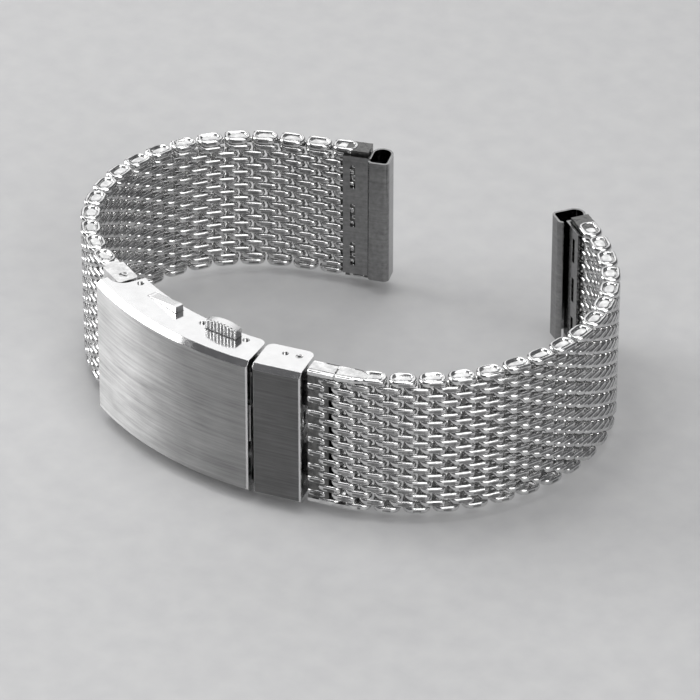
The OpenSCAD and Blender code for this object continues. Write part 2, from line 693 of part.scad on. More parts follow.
module ext_spring()
    color("white") at_arc(slot_r, (bracket_a1 + bracket_a2) / 2) translate([-0.6, 0, 0])
        spring(mid_z + spring_seat_half + 0.02, spring_end_z - 0.02);

// Seat of the fold springs, fixed under the cover's plate
module latch_guide() {
    color("gray") intersection() {
        at_arc(slot_r, -fold_a) translate([-2.6, -clasp_r, mid_z - spring_seat_half])
            cube([2.2, clasp_r + 0.75, 2 * spring_seat_half]);
        band_plate(pin_r - 2, plate_in_r - fit_gap, -fold_a - 5, -fold_a + 2, clasp_w);
    }
}

// Bracket on the two cross pins, with the seat of the extension springs
bracket_w = 16;
bracket_t = 0.8;
tab_half = 0.7;

module button_bracket() {
    top_r = tongue_in_r - slide_gap;
    mid_a = (bracket_a1 + bracket_a2) / 2;
    half_a = (bracket_a2 - bracket_a1) / 2 + tab_half / pin_r * 180 / PI;
    color("gray") difference() {
        union() {
            band_plate(top_r - bracket_t, top_r, mid_a - half_a, mid_a + half_a, bracket_w);
            at_arc(slot_r, mid_a) translate([-1.7, slot_r - top_r + bracket_t / 2, mid_z - spring_seat_half])
                cube([2.2, top_r - slot_r - bracket_t / 2 + 0.75, 2 * spring_seat_half]);
            for (a = [bracket_a1, bracket_a2], s = [-1, 1])
                at_arc(pin_r, a) translate([0, 0, mid_z + s * (bracket_w / 2 - 0.5) - 0.5]) {
                    cylinder(r = tab_half, h = 1, $fn = 48);
                    translate([-tab_half, pin_r - top_r + bracket_t / 2, 0])
                        cube([2 * tab_half, top_r - pin_r - bracket_t / 2, 1]);
                }
        }
        // room for the pawls
        at_arc(slot_r, mid_a)
            for (s = [-1, 1])
                translate([ext_l / 2 - 1.5, -5, mid_z + s * (window_w / 2 - 1.0) - 1.7]) cube([1.8, 10, 3.4]);
        for (a = [bracket_a1, bracket_a2]) cross_bore(a, pin_d + 2 * fit_gap);
    }
}

stand() cover();
stand() slide_tongue();
stand() end_block();
stand() slide_bar();
stand() mesh_pin();
stand() middle_blade();
stand() base_blade();
stand() cover_hinge_pin();
stand() blade_hinge_pin();
stand() link_pin();
stand() button_bracket();
stand() bracket_pins();
stand() latch_guide();
stand() fold_button();  // fold_button_top
stand() to_bottom() fold_button();  // fold_button_bottom
stand() fold_spring();  // fold_spring_top
stand() to_bottom() fold_spring();  // fold_spring_bottom
stand() ext_button();  // extension_button_top
stand() to_bottom() ext_button();  // extension_button_bottom
stand() ext_spring();  // extension_spring_top
stand() to_bottom() ext_spring();  // extension_spring_bottom
stand() end_link_right();
stand() end_link_left();
stand() mesh_end_right();
stand() mesh_end_left();
stand() lug_sheet_right();
stand() lug_sheet_left();
for (g = [1:right_groups])
    stand() mesh_group(g, true);
for (g = [1:left_groups])
    stand() mesh_group(g, false);
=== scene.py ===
# %% [markdown]
# # A wire mesh watch bracelet with a fold-over clasp
# The bracelet stands on its long edge. Its band is a mesh of linked wire coils, and its clasp is
# bent and machined from steel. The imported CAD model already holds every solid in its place. This
# lesson loads it, winds the mesh again in rolled wire that closes along both edges, gives each
# piece its own finish, and sets up the floor, the lights and the camera. The frame has to be loaded
# first, because every later cell takes its places from it.

# %% Load the frame
import json
import math

import bmesh
import bpy
import numpy as np
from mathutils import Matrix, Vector

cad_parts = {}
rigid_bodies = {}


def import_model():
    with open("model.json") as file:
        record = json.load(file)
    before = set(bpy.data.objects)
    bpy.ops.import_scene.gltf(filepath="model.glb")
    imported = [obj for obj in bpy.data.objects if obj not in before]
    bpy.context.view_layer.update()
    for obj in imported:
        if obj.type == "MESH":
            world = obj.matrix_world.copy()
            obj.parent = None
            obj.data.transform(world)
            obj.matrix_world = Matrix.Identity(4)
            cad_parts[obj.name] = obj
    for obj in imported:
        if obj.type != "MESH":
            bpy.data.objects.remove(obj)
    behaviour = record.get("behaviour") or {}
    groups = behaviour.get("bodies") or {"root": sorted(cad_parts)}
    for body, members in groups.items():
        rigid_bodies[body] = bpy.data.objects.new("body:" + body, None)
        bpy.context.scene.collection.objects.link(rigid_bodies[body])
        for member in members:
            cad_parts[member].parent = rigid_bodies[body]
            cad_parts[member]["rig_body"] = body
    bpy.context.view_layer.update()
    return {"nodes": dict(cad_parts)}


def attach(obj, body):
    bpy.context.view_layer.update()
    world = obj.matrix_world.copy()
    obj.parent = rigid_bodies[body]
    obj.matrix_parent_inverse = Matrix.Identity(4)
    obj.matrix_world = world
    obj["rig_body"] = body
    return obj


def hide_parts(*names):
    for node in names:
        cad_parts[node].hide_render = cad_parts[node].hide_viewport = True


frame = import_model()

NODES = frame["nodes"]
MM = 0.001

# %% [markdown]
# ## Writing a material as arithmetic
# A procedural material is a graph of nodes, and most of them only add or multiply numbers. One
# could place each Math node by hand, but the graph is hard to read back. Here a small class wraps
# the output socket of a node, so that an ordinary expression such as `1 - mask * 0.3` adds the
# Math nodes by itself.

# %% A socket that can be reckoned with
class Signal:
    """The output of a shader node. Arithmetic on it adds Math nodes to the same material."""

    def __init__(self, finish, socket):
        self.finish = finish
        self.socket = socket

    def math(self, operation, *others, flipped=False):
        """One Math node of this value and up to two others."""
        values = [self, *others]
        if flipped:
            values.reverse()
        return self.finish.node("ShaderNodeMath", {"operation": operation}, dict(enumerate(values)))

    def __add__(self, other):
        return self.math("ADD", other)

    def __sub__(self, other):
        return self.math("SUBTRACT", other)

    def __rsub__(self, other):
        return self.math("SUBTRACT", other, flipped=True)

    def __mul__(self, other):
        return self.math("MULTIPLY", other)

    def __truediv__(self, other):
        return self.math("DIVIDE", other)


print("made a class:", Signal.__name__)

# %% [markdown]
# Any other node comes from one method: it takes the node's type, its settings and the values or
# links of its sockets. The settings are set first, because some of them change which sockets a
# node has.

# %% A finish, which is a material being written
class Finish:
    """A material under construction, with helpers for the nodes that this bracelet needs."""

    def __init__(self, name):
        self.material = bpy.data.materials.new(name)
        self.material.use_nodes = True
        self.tree = self.material.node_tree
        self.tree.nodes.clear()
        self.end = self.tree.nodes.new("ShaderNodeOutputMaterial")

    def node(self, kind, settings=None, sockets=None, out=0):
        """Adds a node and returns one of its outputs as a Signal."""
        made = self.tree.nodes.new(kind)
        for name, value in (settings or {}).items():
            setattr(made, name, value)
        for key, value in (sockets or {}).items():
            if isinstance(value, Signal):
                self.tree.links.new(value.socket, made.inputs[key])
            else:
                made.inputs[key].default_value = value
        return Signal(self, made.outputs[out])

    def place(self):
        """Coordinates in the object's own space, in metres, as three Signals."""
        coordinates = self.node("ShaderNodeTexCoord", out="Object")
        split = self.node("ShaderNodeSeparateXYZ", sockets={0: coordinates})
        y, z = (Signal(self, split.socket.node.outputs[axis]) for axis in ("Y", "Z"))
        return split, y, z

    def vector(self, x, y, z):
        """A vector of three numbers or Signals."""
        return self.node("ShaderNodeCombineXYZ", sockets={0: x, 1: y, 2: z})

    def noise(self, vector=None, scale=1.0, detail=2.0, rough=0.5):
        """Noise from 0 to 1. Without a vector it is taken in metres, in the object's own space."""
        if vector is None:
            vector = self.node("ShaderNodeTexCoord", out="Object")
        sockets = {"Vector": vector, "Scale": scale, "Detail": detail, "Roughness": rough}
        return self.node("ShaderNodeTexNoise", {"noise_dimensions": "3D"}, sockets)

    def between(self, value, low, high, out_low=0.0, out_high=1.0):
        """Maps low..high to out_low..out_high and stays within them."""
        sockets = {"Value": value, "From Min": low, "From Max": high,
                   "To Min": out_low, "To Max": out_high}
        return self.node("ShaderNodeMapRange", {"clamp": True}, sockets)

    def mix_colour(self, factor, a, b):
        """Colour a where the factor is 0, and colour b where it is 1."""
        colour = {"data_type": "RGBA"}
        return self.node("ShaderNodeMix", colour, {"Factor": factor, 6: (*a, 1), 7: (*b, 1)}, out=2)

    def bump(self, height, depth, strength, normal=None):
        """A normal for a relief of this depth in mm, whose height goes from 0 to 1."""
        sockets = {"Height": height, "Distance": depth * MM, "Strength": strength}
        if normal is not None:
            sockets["Normal"] = normal
        return self.node("ShaderNodeBump", sockets=sockets, out="Normal")

    def steel(self, **sockets):
        """A metal shader. Names with underscores stand for sockets with spaces."""
        values = {"Metallic": 1.0}
        values.update({name.replace("_", " "): value for name, value in sockets.items()})
        return self.node("ShaderNodeBsdfPrincipled", sockets=values)

    def done(self, shader):
        """Links the shader to the material's output and returns the material."""
        self.tree.links.new(shader.socket, self.end.inputs["Surface"])
        return self.material


def dress(material, *names):
    """Gives CAD nodes a material."""
    for name in names:
        mesh = NODES[name].data
        mesh.materials.clear()
        mesh.materials.append(material)


print("made a class:", Finish.__name__)

# %% [markdown]
# ## Where things are
# The clasp's cover and its blades curve round one centre, and the band leaves them on both sides
# as two open curves. These few sizes are the designer's own, and the finishes and the wire below
# are placed by them. They could be measured from the meshes instead, but a radius is easier to
# state than to fit. Lengths are in millimetres and turns in degrees. Each strap is a row of arcs,
# given as (length, turn).

# %% The clasp's centre and the band's path
CLASP_CENTRE = Vector((-2.62, 17.43, 0)) * MM
CLASP_R = 50.0
CLASP_W = 22.0
STAND = 1.8
BLOCK_TURN = 19.4
BLOCK_FACE = CLASP_R - 0.1
BLOCK_HALF = 3.6
BAND_DEPTH = 3.1
RIGHT_LINK = 3.4
LEFT_PIN_TURN = -21
LEFT_PIN_DEPTH = 4.2
LEFT_LINK = 4.0
LEFT_LINK_LEAN = 2

COIL_PITCH = 2.06
WIRE_D = 0.7
MESH_T = 2.96
TURN_PITCH = 2.224
RUNS = 20
RIGHT_COILS = 32
LEFT_COILS = 30
RIGHT_GROUP = 4
LEFT_GROUP = 3
RIGHT_ARCS = [(33.5, 64.2), (23.4, 51), (18.5, 30.8)]
LEFT_ARCS = [(12, 26.5), (43.4, 108), (15.5, 0)]
STRAIGHT = 0.001


def go(pose, length, turn=0.0):
    """The pose (x, y, heading) after walking length mm while turning by turn degrees."""
    x, y, heading = pose
    a, b = math.radians(heading), math.radians(heading + turn)
    if abs(turn) < STRAIGHT:
        return x + length * math.cos(a), y + length * math.sin(a), heading
    r = length / math.radians(turn)
    return x + r * (math.sin(b) - math.sin(a)), y - r * (math.cos(b) - math.cos(a)), heading + turn


def walk(pose, arcs, side, length):
    """The pose after walking along arcs, given as (length, turn), the last of which goes on."""
    for i, (whole, turn) in enumerate(arcs):
        if length <= whole or i == len(arcs) - 1:
            return go(pose, length, side * turn * length / whole)
        pose = go(pose, whole, side * turn)
        length -= whole


def on_clasp(radius, turn):
    """The pose at this distance from the clasp's centre, heading along its curve."""
    a = math.radians(turn)
    return radius * math.sin(a), -radius * math.cos(a), turn


RIGHT_START = go(on_clasp(BLOCK_FACE - BAND_DEPTH, BLOCK_TURN), BLOCK_HALF + RIGHT_LINK)
x, y, heading = on_clasp(CLASP_R - LEFT_PIN_DEPTH, LEFT_PIN_TURN)
LEFT_START = go((x, y, heading + 180 + LEFT_LINK_LEAN), LEFT_LINK)


def coil_pose(right, i):
    """Where coil i of a strap lies, counted from the clasp, turned to look towards the lug."""
    if right:
        return walk(RIGHT_START, RIGHT_ARCS, 1, i * COIL_PITCH)
    x, y, heading = walk(LEFT_START, LEFT_ARCS, -1, i * COIL_PITCH)
    return x, y, heading + 180


print("right tip in mm:", [round(v, 1) for v in coil_pose(True, RIGHT_COILS + 1)])

# %% [markdown]
# ## The wire mesh
# The real band is woven from flat coils of wire, each threaded through the last, and then rolled
# flat. Rolling pushes each turn out into its corners and leaves a narrow polished facet on both
# faces of the band. The CAD coils are round wire with round bends, which is right for their fit
# but lacks that look. A Curve object with a bevel could not have it either, because its section
# stays the same. So each coil is swept here as a mesh tube whose section is wider on the faces
# than in the bends, along a path whose bends are superellipses. The sizes say how far a bend
# reaches along the band, where it leaves and joins the faces, at which angles a coil starts and
# stops, and how wide the wire is on a face and in a bend.

# %% The sizes of a coil
HALF_GAP = (MESH_T - WIRE_D) / 2
HALF_RISE = TURN_PITCH / 2
TOP_RUN = (RUNS - 1) * HALF_RISE
MESH_W = TOP_RUN + WIRE_D
MESH_Z = (CLASP_W - TOP_RUN) / 2 + STAND
REACH = 1.66
RING_REACH = 1.62
LEAVE_X = 0.55
ARRIVE_X = 1.05
ROUND_POWER = 2.2
SQUARE_POWER = 3.4
CLIMB = 1.1
STARTS_AT = 95
STOPS_AT = 85
RING_ENDS = 40
SIDES = 20
BEND_STEPS = 9
WIRE_LOOK_R = 0.36
FACE_R = 0.50
BEND_WIDE_R = 0.42
FACET_ANGLE = 36
FLAT = HALF_GAP + WIRE_LOOK_R * math.cos(math.radians(FACET_ANGLE))
print("mesh width and thickness in mm:", round(MESH_W, 1), MESH_T)

# %% [markdown]
# A superellipse is a circle whose cosine and sine are raised to a power below one. The wire
# leaves each face of the band in a round sweep and arrives at the other face in a tight corner,
# which is what gives this mesh its slanting grain. At the band's edges the coils don't end in
# bare hooks: every second one closes with a flat ring that runs back along the other face, and
# its neighbour stops between the two rings beside it. A bend is counted in degrees, from 0 on the
# face that it leaves to 180 on the other.

# %% The path of one coil
def side_of(j, phase):
    """The side to which run j goes on, -1 or 1. Two neighbouring coils differ in phase."""
    return -1 if (j + phase) % 2 == 0 else 1


def bend(side, z, rise, first=0, last=180, closing=False):
    """Points of a bend in mm, each with the half width of the wire there."""
    points = []
    for k in range(BEND_STEPS + 1):
        a = first + (last - first) * k / BEND_STEPS
        leaving = a < 90 or closing
        start, power = (LEAVE_X, ROUND_POWER) if leaving else (ARRIVE_X, SQUARE_POWER)
        c, s = math.cos(math.radians(a)), math.sin(math.radians(a))
        c, s = math.copysign(abs(c) ** (2 / power), c), abs(s) ** (2 / power)
        wide = BEND_WIDE_R + (FACE_R - BEND_WIDE_R) * c * c
        reach = RING_REACH if closing else REACH
        points.append((side * (start + (reach - start) * s), side * HALF_GAP * c,
                       z + rise * ((1 - c) / 2) ** CLIMB, wide))
    return points


def coil_path(phase):
    """Points along a coil: x along the band, y inwards, z across it, and the half width."""
    closes_low = side_of(0, phase) < 0
    if closes_low:
        points = (bend(-1, 0, 0, RING_ENDS, 180, True) + [(0, HALF_GAP, 0, FACE_R)]
                  + bend(1, 0, 0, closing=True))
        runs = range(RUNS - 1)
    else:
        points = bend(1, 0, HALF_RISE, STARTS_AT)
        runs = range(1, RUNS)
    for j in runs:
        side = side_of(j, phase)
        z = j * HALF_RISE
        points.append((0, side * HALF_GAP, z, FACE_R))
        if closes_low and j == runs[-1]:
            points += bend(side, z, HALF_RISE, 0, STOPS_AT)
        elif j == runs[-1]:
            points += (bend(side, z, 0, closing=True) + [(0, HALF_GAP, z, FACE_R)]
                       + bend(1, z, 0, 0, 180 - RING_ENDS, True))
        else:
            points += bend(side, z, HALF_RISE)
    return np.array(points, float)


path = coil_path(0)
print("points along a coil:", len(path), "length in mm:",
      round(float(np.linalg.norm(np.diff(path[:, :3], axis=0), axis=1).sum()), 1))

# %% [markdown]
# A tube needs two directions square to its path at each point. This path stays nearly level, so
# the upward direction, made square to the path, can be one of them, and the section never twists.
# At the rolled faces the twenty-sided section is cut at 36 degrees from its crown, where two of
# its corners already lie, so the facet gets clean edges.

# %% Sweep the wire along a path
def sweep_tube(path, radius, sides):
    """Vertices of a tube round a path, ring by ring. The path's last column is its half width."""
    steps = np.gradient(path[:, :3], axis=0)
    steps /= np.linalg.norm(steps, axis=1)[:, None]
    angles = 2 * math.pi * np.arange(sides) / sides
    rings = []
    for point, step in zip(path, steps):
        up = np.array([0.0, 0.0, 1.0]) - step * step[2]
        up /= np.linalg.norm(up)
        outward = np.cross(up, step)
        rings.append(point[:3] + radius * np.outer(np.cos(angles), outward)
                     + point[3] * np.outer(np.sin(angles), up))
    return np.concatenate(rings)


def tube_faces(rings, sides):
    """The four-sided faces between a tube's rings, and one face on either end."""
    faces = [[(r + a) * sides + (s + b) % sides for a, b in ((0, 0), (0, 1), (1, 1), (1, 0))]
             for r in range(rings - 1) for s in range(sides)]
    last = (rings - 1) * sides
    return faces + [list(range(sides))[::-1], [last + s for s in range(sides)]]


print("faces of a plain tube:", len(tube_faces(len(path), SIDES)))

# %% [markdown]
# Each ring along the edges is closed by a drop of weld, which fills its middle. It is a low dome
# over a superellipse, described by a few rings that get smaller as they rise. It joins the coil's
# mesh as a second closed shell. The faces that lie in the rolled plane are marked, because they
# get a finish of their own.

# %% The weld and the whole coil
WELD_L = 1.36
WELD_D = 0.86
WELD_POINTS = 28
WELD_POWER = 0.8
WELD_RINGS = ((1.0, -0.12), (1.0, 0.1), (0.86, 0.22), (0.6, 0.29), (0.3, 0.31))
PRESSED = 0.04
FLAT_SLACK = 1e-4


def weld_shape(z, up):
    """The low dome of weld inside a closing turn at height z, raised to the side up, 1 or -1."""
    verts = []
    for share, lift in WELD_RINGS:
        for k in range(WELD_POINTS):
            a = k * math.tau / WELD_POINTS
            c, s = (math.copysign(abs(t) ** WELD_POWER, t) for t in (math.cos(a), math.sin(a)))
            verts.append((WELD_L * share * c, WELD_D * share * s * up, z + up * lift))
    return np.array(verts), tube_faces(len(WELD_RINGS), WELD_POINTS)


def join_shapes(shapes):
    """One list of vertices and one of faces from several."""
    verts, faces, first = [], [], 0
    for v, f in shapes:
        verts.append(v)
        faces += [[first + i for i in face] for face in f]
        first += len(v)
    return np.concatenate(verts), faces


def coil_shape(phase, spread=0.0):
    """Vertices and faces of one rolled coil. spread is how much wider it is pressed, in mm."""
    path = coil_path(phase)
    path[:, 3] += spread
    verts = sweep_tube(path, WIRE_LOOK_R, SIDES)
    verts[:, 1] = np.clip(verts[:, 1], -FLAT, FLAT)
    weld = weld_shape(TOP_RUN, 1) if phase else weld_shape(0, -1)
    return join_shapes([(verts, tube_faces(len(path), SIDES)), weld])


COILS = [coil_shape(phase) for phase in (0, 1)]
PRESSED_COILS = [coil_shape(phase, PRESSED) for phase in (0, 1)]
FLATS = [[all(abs(verts[i, 1]) > FLAT - FLAT_SLACK for i in face) for face in faces]
         for verts, faces in COILS]
print("faces in a coil:", len(COILS[0][1]), "of them rolled flat:", sum(FLATS[0]))

# %% [markdown]
# A coil is made in its own space and then set down on the band's path. A piece that stands in for
# a CAD node rides on that node's body, so it follows the same hinge.

# %% Setting shapes down as pieces
def set_down(verts, pose, z=MESH_Z):
    """Puts vertices in mm from a coil's own space to the bracelet's, in metres."""
    x, y, heading = pose
    a = math.radians(heading)
    out = np.empty_like(verts)
    out[:, 0] = x + verts[:, 0] * math.cos(a) - verts[:, 1] * math.sin(a)
    out[:, 1] = y + verts[:, 0] * math.sin(a) + verts[:, 1] * math.cos(a)
    out[:, 2] = verts[:, 2] + z
    return out * MM + np.array([CLASP_CENTRE.x, CLASP_CENTRE.y, 0])


def mesh_piece(name, verts, faces, material, sharp=40):
    """A new object from vertices and faces, smooth but for edges sharper than this angle."""
    mesh = bpy.data.meshes.new(name)
    mesh.from_pydata(verts.tolist(), [], faces)
    mesh.validate()
    mesh.update()
    mesh.shade_smooth()
    mesh.set_sharp_from_angle(angle=math.radians(sharp))
    mesh.materials.append(material)
    piece = bpy.data.objects.new(name, mesh)
    bpy.context.scene.collection.objects.link(piece)
    return piece


def placed_coil(right, i):
    """Coil i of a strap. The first two beside the end block are pressed a little wider."""
    verts, faces = (PRESSED_COILS if right and i <= 2 else COILS)[i % 2]
    return set_down(verts, coil_pose(right, i)), faces


def body_of(node):
    """The name of the body that a CAD node belongs to."""
    return NODES[node]["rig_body"]


def stand_in(piece, node):
    """Lets a piece stand for a CAD node, on that node's body."""
    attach(piece, body_of(node))
    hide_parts(node)


print("first coil at:", [round(float(v) / MM, 1) for v in placed_coil(True, 1)[0].mean(axis=0)])

# %% [markdown]
# ## The wire's finish
# Stainless wire that has been drawn, rolled and polished is bright, with a slight grey unevenness
# and small dents that scatter its highlights. One noise varies its colour and roughness, and a
# finer one tilts the normal a little. The metal itself is a plain metallic shader. The rolled
# facets get a darker copy of it, which is a painted dark reflection: in the photograph they mirror
# a dark table.

# %% Polished mesh wire
WIRE_CLOUDS = 900
WIRE_GRAIN = 5200
DENT_DEPTH = 0.02
WIRE_GREYS = (0.56, 0.80)
# The facets' lower greys are a painted dark reflection, not a darker metal.
FACET_GREYS_PAINTED_REFLECTION = (0.20, 0.36)
WARM = 0.995


def wire_finish(name, dark, light):
    """Polished wire whose colour wanders between two greys."""
    f = Finish(name)
    cloud = f.noise(scale=WIRE_CLOUDS, detail=3)
    grain = f.noise(scale=WIRE_GRAIN, detail=2)
    colour = f.mix_colour(f.between(cloud, 0.35, 0.65), (dark,) * 3, (light, light, light * WARM))
    roughness = f.between(cloud * 0.6 + grain * 0.4, 0.3, 0.7, 0.12, 0.26)
    dents = f.bump(cloud * 0.7 + grain * 0.3, DENT_DEPTH, 0.55)
    return f.done(f.steel(Base_Color=colour, Roughness=roughness, Normal=dents))


WIRE = wire_finish("polished_mesh_wire", *WIRE_GREYS)
# A darker copy of the wire's finish: painted dark reflection on the rolled facets.
FACETS_PAINTED_REFLECTION = wire_finish("rolled_wire_facets_painted_reflection", *FACET_GREYS_PAINTED_REFLECTION)


def darken(piece, material, flats):
    """Gives a piece's second material to the faces that are marked in flats."""
    piece.data.materials.append(material)
    for face, flat in zip(piece.data.polygons, flats):
        face.material_index = int(flat)


print("wire finishes:", WIRE.name, FACETS_PAINTED_REFLECTION.name)

# %% [markdown]
# Each group of coils is one piece, because the band bends from group to group. One object for the
# whole strap would tear at the hinges, and one object for each coil would need many more bodies.

# %% Wind the mesh
for right, groups, size in ((True, RIGHT_COILS // RIGHT_GROUP, RIGHT_GROUP),
                            (False, LEFT_COILS // LEFT_GROUP, LEFT_GROUP)):
    word = "right" if right else "left"
    for g in range(1, groups + 1):
        members = range((g - 1) * size + 1, g * size + 1)
        verts, faces = join_shapes([placed_coil(right, i) for i in members])
        piece = mesh_piece(f"rolled_mesh_{word}_{g}", verts, faces, WIRE)
        # The rolled facets get the darker finish, which is a painted dark reflection.
        darken(piece, FACETS_PAINTED_REFLECTION, [flat for i in members for flat in FLATS[i % 2]])
        stand_in(piece, f"mesh_{word}_{g}")
    print(word, "strap:", groups, "groups of", size, "coils")

# %% [markdown]
# ## The soldered ends
# At the lugs and at the end block the last coils are filled with solder and ground level. The
# loops still show as a relief on a rough grey filling. A flat slab with a bump texture would look
# painted, so real coils are sunk into a plate whose surface is uneven. The plate at the end block
# is a little thinner and has a thin lip on each face, which narrows the gap to the first coil.

# %% Solder filling
SOLDER_T = 2.7
SOLDER_SWELL = 0.05
SWELL_SEED = 7
END_CLEAR = 0.25
END_L = 3.8
LINK_SOLDER_T = 2.56
LINK_GAP = 0.5
SKIRT_L = 0.2
SKIRT_SUNK = 0.1
SKIRT_HALF_T = 0.14
CELL = 0.5
SOLDER_CLOUDS = 1400
SOLDER_RELIEF = 0.05
SOLDER_DARK = (0.09, 0.09, 0.09)
SOLDER_LIGHT = (0.19, 0.19, 0.186)


def box_shape(x0, x1, y0, y1, z0, z1):
    """A box in mm whose faces are cut into cells, so that its surface can be made uneven."""
    bm = bmesh.new()
    bmesh.ops.create_cube(bm, size=1)
    size = Vector((x1 - x0, y1 - y0, z1 - z0))
    for v in bm.verts:
        v.co = Vector(((v.co.x + 0.5) * size.x + x0, (v.co.y + 0.5) * size.y + y0,
                       (v.co.z + 0.5) * size.z + z0))
    for axis in range(3):
        cells = int(size[axis] / CELL)
        for k in range(1, cells):
            plane = Vector((x0, y0, z0))
            plane[axis] += k * size[axis] / cells
            normal = Vector((axis == 0, axis == 1, axis == 2))
            geom = bm.verts[:] + bm.edges[:] + bm.faces[:]
            bmesh.ops.bisect_plane(bm, geom=geom, plane_co=plane, plane_no=normal)
    bm.verts.ensure_lookup_table()
    verts = np.array([v.co[:] for v in bm.verts])
    faces = [[v.index for v in face.verts] for face in bm.faces]
    bm.free()
    return verts, faces


def solder_finish():
    """Ground solder: dark, cloudy and less shiny than the wire."""
    f = Finish("ground_solder")
    cloud = f.noise(scale=SOLDER_CLOUDS, detail=4)
    colour = f.mix_colour(f.between(cloud, 0.3, 0.7), SOLDER_DARK, SOLDER_LIGHT)
    roughness = f.between(cloud, 0.3, 0.7, 0.22, 0.42)
    relief = f.bump(cloud, SOLDER_RELIEF, 0.8)
    return f.done(f.steel(Base_Color=colour, Roughness=roughness, Normal=relief))


SOLDER = solder_finish()


def soldered_end(name, right, i, x0, x1, step, cut=None, thick=SOLDER_T, skirt=0):
    """Solder from x0 to x1 of coil i's space, with two coils sunk in it, step apart.

    What the coils have below x = cut is pressed into that plane. skirt is how far the lips on the
    two faces run on past x1.
    """
    pose = coil_pose(right, i)
    half = thick / 2
    low, high = -WIRE_D / 2, MESH_W - WIRE_D / 2
    fill, fill_faces = box_shape(x0, x1, -half, half, low, high)
    if skirt:
        lips = [box_shape(x1 - SKIRT_SUNK, x1 + skirt,
                          y - SKIRT_HALF_T, y + SKIRT_HALF_T, low, high)
                for y in (half - SKIRT_HALF_T, SKIRT_HALF_T - half)]
        fill, fill_faces = join_shapes([(fill, fill_faces), *lips])
    rng = np.random.default_rng(SWELL_SEED)
    swell = rng.uniform(-SOLDER_SWELL, SOLDER_SWELL, len(fill))
    fill[:, 1] += np.sign(fill[:, 1]) * swell
    shapes = []
    for k in range(2):
        verts, faces = PRESSED_COILS[(i + k) % 2]
        moved = verts + np.array([k * step, 0, 0])
        if cut is not None:
            moved[:, 0] = np.maximum(moved[:, 0], cut)
        shapes.append((moved, faces))
    verts, faces = join_shapes([(fill, fill_faces), *shapes])
    piece = mesh_piece(name, set_down(verts, pose), faces, WIRE)
    darken(piece, SOLDER, [True] * len(fill_faces) + FLATS[i % 2] + FLATS[(i + 1) % 2])
    return piece


right_end = soldered_end("soldered_end_right", True, RIGHT_COILS + 1,
                         END_CLEAR, END_L, COIL_PITCH)
stand_in(right_end, "mesh_end_right")
left_end = soldered_end("soldered_end_left", False, LEFT_COILS + 1,
                        -END_L, -END_CLEAR, -COIL_PITCH)
stand_in(left_end, "mesh_end_left")
for piece in (right_end, left_end):
    print(piece.name, "faces:", len(piece.data.polygons))

# %% [markdown]
# At the end block the filled end also has two arms, which reach into the block and turn on its
# cross pin. They hardly show, but the piece that stands for the CAD node has to carry them too.

# %% The link in the end block
LINK_START = LINK_GAP - RIGHT_LINK
MESH_PIN_X = 1.75
PIN_X = MESH_PIN_X - BLOCK_HALF - RIGHT_LINK
PIN_Y = 1.4
ARM_Z = ((3, 7.2), (14.8, 19))
ARM_FROM_PIN = 0.8
ARM_SUNK = 1
ARM_HALF_T = 1
EYE_R = 1.05
EYE_BORE = 0.55
EYE_STEPS = 40


def wall_faces(rings, sides, closed=False):
    """The four-sided faces of a tube that stays open at its ends, or closes on itself."""
    return [[(r + a) % rings * sides + (s + b) % sides for a, b in ((0, 0), (1, 0), (1, 1), (0, 1))]
            for r in range(rings if closed else rings - 1) for s in range(sides)]


def eye_shape(x, y, z0, z1):
    """A ring round the pin, in mm, as one closed tube of four sides."""
    corners = [(EYE_BORE, z0), (EYE_R, z0), (EYE_R, z1), (EYE_BORE, z1)]
    turns = [2 * math.pi * k / EYE_STEPS for k in range(EYE_STEPS)]
    verts = [(x + r * math.cos(a), y + r * math.sin(a), z) for a in turns for r, z in corners]
    return np.array(verts), wall_faces(EYE_STEPS, len(corners), closed=True)


def right_link():
    """The soldered link with its two arms, as two pieces on the link's body."""
    piece = soldered_end("soldered_link_right", True, 0, LINK_START, 0, -COIL_PITCH, LINK_START,
                         LINK_SOLDER_T, SKIRT_L)
    low = MESH_Z - STAND
    shapes = []
    for z0, z1 in ARM_Z:
        shapes.append(eye_shape(PIN_X, PIN_Y, z0 - low, z1 - low))
        shapes.append(box_shape(PIN_X + ARM_FROM_PIN, LINK_START + ARM_SUNK,
                                PIN_Y - ARM_HALF_T, PIN_Y + ARM_HALF_T, z0 - low, z1 - low))
    verts, faces = join_shapes(shapes)
    arms = mesh_piece("link_arms_right", set_down(verts, coil_pose(True, 0)), faces, SOLDER)
    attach(arms, body_of("end_link_right"))
    stand_in(piece, "end_link_right")
    return piece, arms


for piece in right_link():
    print(piece.name, "faces:", len(piece.data.polygons))

# %% [markdown]
# The photograph shows the solder running on over the first coils of the strap, where it closes
# both edges of the band with a smooth bar. A short bar on the link and a longer one on the first
# group of coils carry it on at each edge. They leave a gap at the hinge between the two, so that
# the band can still bend there.

# %% Solder bars on the band's edges
BAR_H = 0.75
BAR_PROUD = 0.52
BAR_HALF = 1.47
BAR_STEPS = 20
BAR_SECTION = ((-1, 0), (-1, 0.7), (-0.85, 0.94), (-0.5, 1),
               (0.5, 1), (0.85, 0.94), (1, 0.7), (1, 0))
BAR_LEAST_H = 0.3
BAR_COILS = 1.7
BAR_FADE = 0.6
FADE_POWER = 6
BAR_SHARP = 50
HINGE_CLEAR = 0.9


